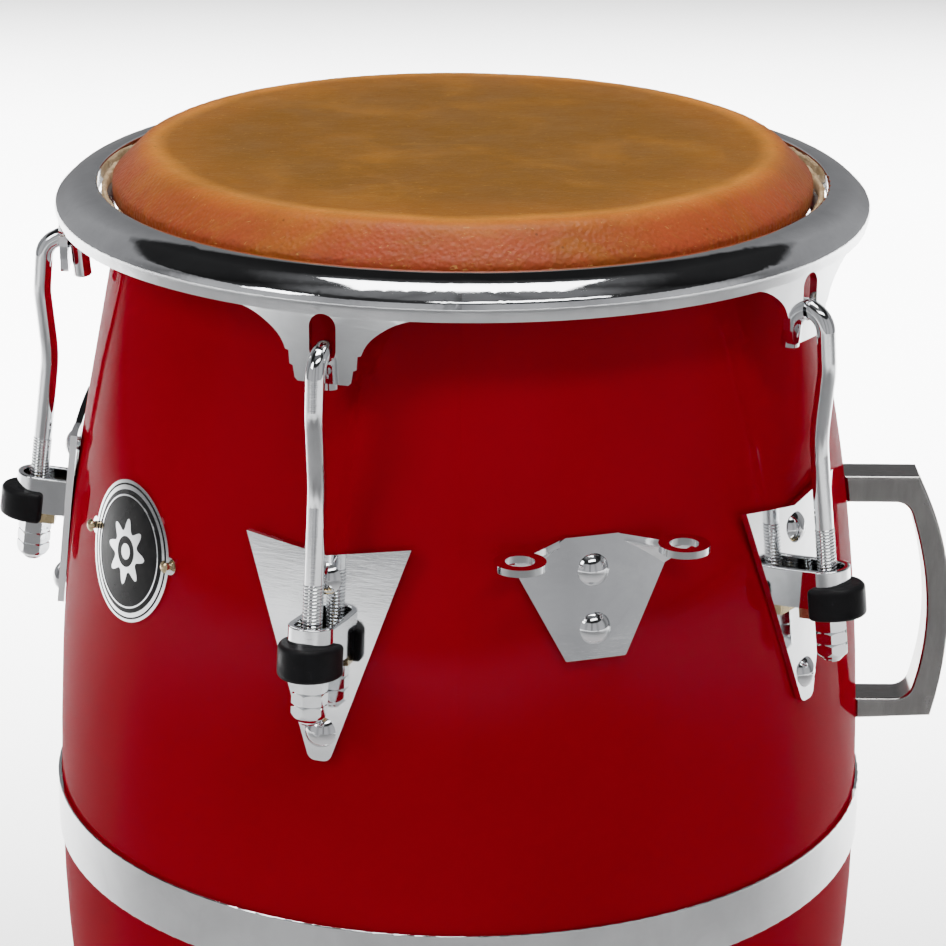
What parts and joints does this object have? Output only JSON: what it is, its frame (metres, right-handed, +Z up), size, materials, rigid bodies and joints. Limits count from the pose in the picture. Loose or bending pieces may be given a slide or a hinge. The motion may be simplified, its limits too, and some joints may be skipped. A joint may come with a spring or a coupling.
{
  "type": "conga drum",
  "caption": "Tall barrel-shaped hand drum with a rawhide head, chromed comfort rim, hook-and-nut tuning lugs, side handle, bolt-on eye bracket and rubber foot.",
  "frame": {"origin": "on the drum's axis at the floor, in the centre of the foot ring's opening", "axes": "+Z up the drum's axis to the head; -Y is the front; +X is the handle's side"},
  "size_m": [0.4343, 0.4004, 0.762],
  "materials": {
    "lacquer": "clear-coated candy red fibreglass",
    "chrome": "polished chrome plate on steel",
    "satin_chrome": "satin plated casting",
    "rawhide": "translucent amber hide, lightly scuffed",
    "rubber": "matte black",
    "steel": "bare drawn bar",
    "zinc": "zinc plated hardware",
    "badge": "black enamel in a silver border",
    "brass": "small plated screws"
  },
  "bodies": {
    "drum": {"shell": "lacquer", "belly_band": "chrome", "foot_ring": "rubber", "lug_plate_1": "chrome", "lug_plate_2": "chrome", "lug_plate_3": "chrome", "lug_plate_4": "chrome", "lug_plate_5": "chrome", "lug_strap_1": "chrome", "lug_strap_2": "chrome", "lug_strap_3": "chrome", "lug_strap_4": "chrome", "lug_strap_5": "chrome", "saddle_1": "chrome", "saddle_2": "chrome", "saddle_3": "chrome", "saddle_4": "chrome", "saddle_5": "chrome", "bumper_1": "rubber", "bumper_2": "rubber", "bumper_3": "rubber", "bumper_4": "rubber", "bumper_5": "rubber", "lug_bolts": "chrome", "lug_washers": "zinc", "lug_nuts": "zinc", "bracket_plate": "chrome", "bracket_bolts": "chrome", "bracket_washers": "zinc", "bracket_nuts": "zinc", "handle": "satin_chrome", "handle_screws": "zinc", "handle_washers": "zinc", "badge_plate": "badge", "badge_screws": "brass"},
    "hoop": {"counterhoop": "chrome", "head_skin": "rawhide", "flesh_ring": "steel"},
    "hook_1": {"hook_1": "chrome"},
    "hook_2": {"hook_2": "chrome"},
    "hook_3": {"hook_3": "chrome"},
    "hook_4": {"hook_4": "chrome"},
    "hook_5": {"hook_5": "chrome"},
    "nut_1": {"tuning_nut_1": "chrome"},
    "nut_2": {"tuning_nut_2": "chrome"},
    "nut_3": {"tuning_nut_3": "chrome"},
    "nut_4": {"tuning_nut_4": "chrome"},
    "nut_5": {"tuning_nut_5": "chrome"}
  },
  "joints": [
    {"name": "hoop_lift", "type": "slide", "parent": "drum", "child": "hoop", "axis": [0, 0, 1], "range_m": [0, 0.01]},
    {"name": "hook_slide_1", "type": "slide", "parent": "drum", "child": "hook_1", "axis": [0.1219, 0, 0.9925], "range_m": [0, 0.0102]},
    {"name": "hook_slide_2", "type": "slide", "parent": "drum", "child": "hook_2", "axis": [0.0377, 0.1159, 0.9925], "range_m": [0, 0.0102]},
    {"name": "hook_slide_3", "type": "slide", "parent": "drum", "child": "hook_3", "axis": [-0.0986, 0.0716, 0.9925], "range_m": [0, 0.0102]},
    {"name": "hook_slide_4", "type": "slide", "parent": "drum", "child": "hook_4", "axis": [-0.0986, -0.0716, 0.9925], "range_m": [0, 0.0102]},
    {"name": "hook_slide_5", "type": "slide", "parent": "drum", "child": "hook_5", "axis": [0.0377, -0.1159, 0.9925], "range_m": [0, 0.0102]},
    {"name": "nut_turn_1", "type": "hinge", "parent": "drum", "child": "nut_1", "pos_m": [-0.192, 0, 0.6008], "axis": [0.1219, 0, 0.9925], "range_deg": [-2600, 0]},
    {"name": "nut_turn_2", "type": "hinge", "parent": "drum", "child": "nut_2", "pos_m": [-0.05933, -0.1826, 0.6008], "axis": [0.0377, 0.1159, 0.9925], "range_deg": [-2600, 0]},
    {"name": "nut_turn_3", "type": "hinge", "parent": "drum", "child": "nut_3", "pos_m": [0.15533, -0.11285, 0.6008], "axis": [-0.0986, 0.0716, 0.9925], "range_deg": [-2600, 0]},
    {"name": "nut_turn_4", "type": "hinge", "parent": "drum", "child": "nut_4", "pos_m": [0.15533, 0.11285, 0.6008], "axis": [-0.0986, -0.0716, 0.9925], "range_deg": [-2600, 0]},
    {"name": "nut_turn_5", "type": "hinge", "parent": "drum", "child": "nut_5", "pos_m": [-0.05933, 0.1826, 0.6008], "axis": [0.0377, -0.1159, 0.9925], "range_deg": [-2600, 0]}
  ],
  "couplings": [
    {"joint": "hook_slide_1", "follows": "hoop_lift", "ratio": 1.0075},
    {"joint": "hook_slide_2", "follows": "hoop_lift", "ratio": 1.0075},
    {"joint": "hook_slide_3", "follows": "hoop_lift", "ratio": 1.0075},
    {"joint": "hook_slide_4", "follows": "hoop_lift", "ratio": 1.0075},
    {"joint": "hook_slide_5", "follows": "hoop_lift", "ratio": 1.0075},
    {"joint": "nut_turn_1", "follows": "hoop_lift", "rad_per_m": -4486.1},
    {"joint": "nut_turn_2", "follows": "hoop_lift", "rad_per_m": -4486.1},
    {"joint": "nut_turn_3", "follows": "hoop_lift", "rad_per_m": -4486.1},
    {"joint": "nut_turn_4", "follows": "hoop_lift", "rad_per_m": -4486.1},
    {"joint": "nut_turn_5", "follows": "hoop_lift", "rad_per_m": -4486.1}
  ]
}
